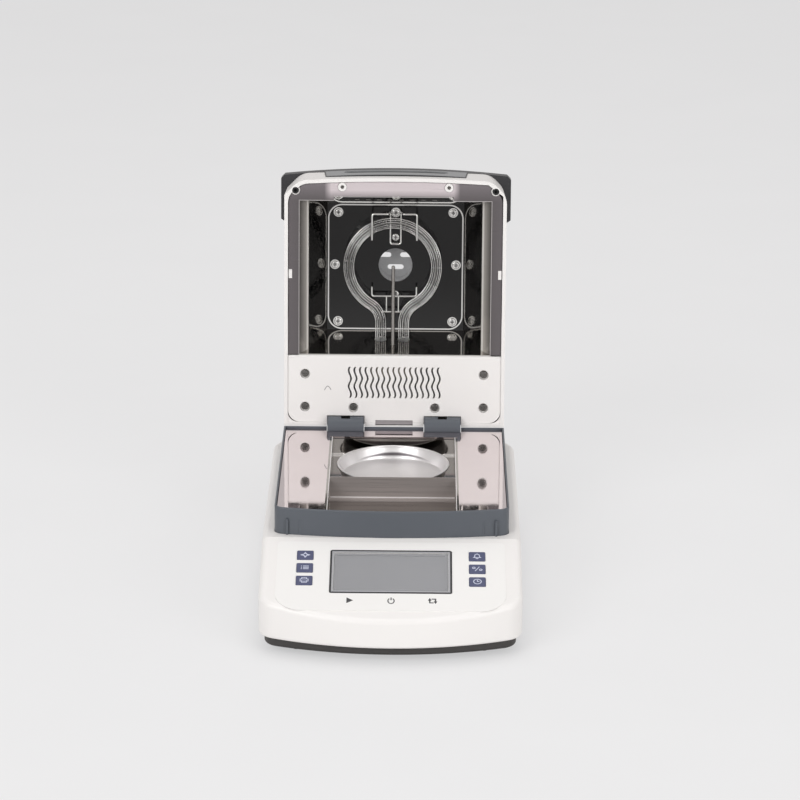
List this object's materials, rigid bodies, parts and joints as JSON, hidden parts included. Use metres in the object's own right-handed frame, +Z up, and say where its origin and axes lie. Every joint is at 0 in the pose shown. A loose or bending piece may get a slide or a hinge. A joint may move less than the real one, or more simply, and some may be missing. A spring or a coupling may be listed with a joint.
{
  "type": "moisture analyzer",
  "caption": "Bench moisture analyzer: a tilting lid with a ring lamp opens over a weighing pan in a steel chamber, behind a sloping keypad and display.",
  "frame": {"origin": "on the surface that the feet stand on, under the middle of the instrument's box with its lid open", "axes": "+Z up, -Y the front with the display, +X to the right seen from the front"},
  "size_m": [0.22, 0.4484, 0.3209],
  "materials": {
    "white_plastic": "fine moulded texture",
    "slate_plastic": "fine moulded texture",
    "dark_plastic": "fine moulded texture",
    "grey_plastic": "satin",
    "base_plastic": "fine moulded texture",
    "overlay_film": "satin printed film",
    "key_blue": "satin",
    "deck_steel": "fine brushed",
    "chamber_steel": "brushed across",
    "polished_steel": "polished",
    "frame_steel": "satin",
    "bright_steel": "bright",
    "pan_aluminium": "pressed foil",
    "black_glass": "gloss",
    "clear_glass": "clear",
    "quartz": "clear quartz",
    "lcd_grey": "matt polariser",
    "ceramic": "unglazed ceramic",
    "board_green": "lacquered board",
    "black_rubber": "matt",
    "screw_steel": "turned",
    "cell_aluminium": "machined",
    "guard_grey": "satin"
  },
  "bodies": {
    "base": {"base_housing": "white_plastic", "bottom_pan": "base_plastic", "base_screws": "screw_steel", "control_overlay": "overlay_film", "display_frame": "dark_plastic", "display_window": "clear_glass", "lcd_module": "lcd_grey", "control_board": "board_green", "power_board": "board_green", "load_cell": "cell_aluminium", "load_cell_block": "cell_aluminium", "weighing_spindle": "bright_steel", "pan_support": "bright_steel", "tray_surround": "slate_plastic", "deck_plate": "deck_steel", "chamber_channel": "chamber_steel", "rear_baffle": "polished_steel", "draft_wall": "chamber_steel", "mains_inlet": "dark_plastic", "data_port": "bright_steel", "hinge_brackets": "slate_plastic"},
    "lid": {"lid_shell": "white_plastic", "lid_handle": "dark_plastic", "grip_strip": "grey_plastic", "lid_rear_panel": "white_plastic", "panel_screws": "screw_steel", "chamber_frame": "frame_steel", "lid_bumpers": "black_rubber", "snap_tabs": "white_plastic", "reflector_front": "polished_steel", "reflector_rear": "polished_steel", "reflector_left": "polished_steel", "reflector_right": "polished_steel", "reflector_plate": "black_glass", "plate_trim": "bright_steel", "plate_screws": "screw_steel", "clip_screws": "screw_steel", "window_glass": "clear_glass", "window_guard": "guard_grey", "halogen_lamp": "quartz", "lamp_holder": "ceramic", "temperature_probe": "bright_steel", "lamp_clip_upper": "bright_steel", "lamp_clip_lower": "bright_steel", "hinge_leaves": "screw_steel", "hinge_pins": "bright_steel"},
    "pan": {"sample_pan": "pan_aluminium"},
    "key_cross": {"key_cross": "key_blue"},
    "key_list": {"key_list": "key_blue"},
    "key_print": {"key_print": "key_blue"},
    "key_bell": {"key_bell": "key_blue"},
    "key_unit": {"key_unit": "key_blue"},
    "key_clock": {"key_clock": "key_blue"},
    "foot_front_left": {"foot_front_left": "black_rubber"},
    "foot_rear_left": {"foot_rear_left": "black_rubber"},
    "foot_front_right": {"foot_front_right": "black_rubber"},
    "foot_rear_right": {"foot_rear_right": "black_rubber"}
  },
  "joints": [
    {"name": "lid_hinge", "type": "hinge", "parent": "base", "child": "lid", "pos_m": [0, 0.1178, 0.095], "axis": [-1, 0, 0], "range_deg": [-96.5, 0]},
    {"name": "pan_lift", "type": "slide", "parent": "base", "child": "pan", "axis": [0, 0, 1], "range_m": [0, 0.022]},
    {"name": "key_cross_press", "type": "slide", "parent": "base", "child": "key_cross", "axis": [0, 0.2872, -0.9579], "range_m": [0, 0.0005], "stiffness_N_per_m": 2000, "springref_m": -0.0002},
    {"name": "key_list_press", "type": "slide", "parent": "base", "child": "key_list", "axis": [0, 0.2872, -0.9579], "range_m": [0, 0.0005], "stiffness_N_per_m": 2000, "springref_m": -0.0002},
    {"name": "key_print_press", "type": "slide", "parent": "base", "child": "key_print", "axis": [0, 0.2872, -0.9579], "range_m": [0, 0.0005], "stiffness_N_per_m": 2000, "springref_m": -0.0002},
    {"name": "key_bell_press", "type": "slide", "parent": "base", "child": "key_bell", "axis": [0, 0.2872, -0.9579], "range_m": [0, 0.0005], "stiffness_N_per_m": 2000, "springref_m": -0.0002},
    {"name": "key_unit_press", "type": "slide", "parent": "base", "child": "key_unit", "axis": [0, 0.2872, -0.9579], "range_m": [0, 0.0005], "stiffness_N_per_m": 2000, "springref_m": -0.0002},
    {"name": "key_clock_press", "type": "slide", "parent": "base", "child": "key_clock", "axis": [0, 0.2872, -0.9579], "range_m": [0, 0.0005], "stiffness_N_per_m": 2000, "springref_m": -0.0002},
    {"name": "foot_front_left_screw", "type": "slide", "parent": "base", "child": "foot_front_left", "axis": [0, 0, 1], "range_m": [-0.004, 0]},
    {"name": "foot_rear_left_screw", "type": "slide", "parent": "base", "child": "foot_rear_left", "axis": [0, 0, 1], "range_m": [-0.004, 0]},
    {"name": "foot_front_right_screw", "type": "slide", "parent": "base", "child": "foot_front_right", "axis": [0, 0, 1], "range_m": [-0.004, 0]},
    {"name": "foot_rear_right_screw", "type": "slide", "parent": "base", "child": "foot_rear_right", "axis": [0, 0, 1], "range_m": [-0.004, 0]}
  ]
}
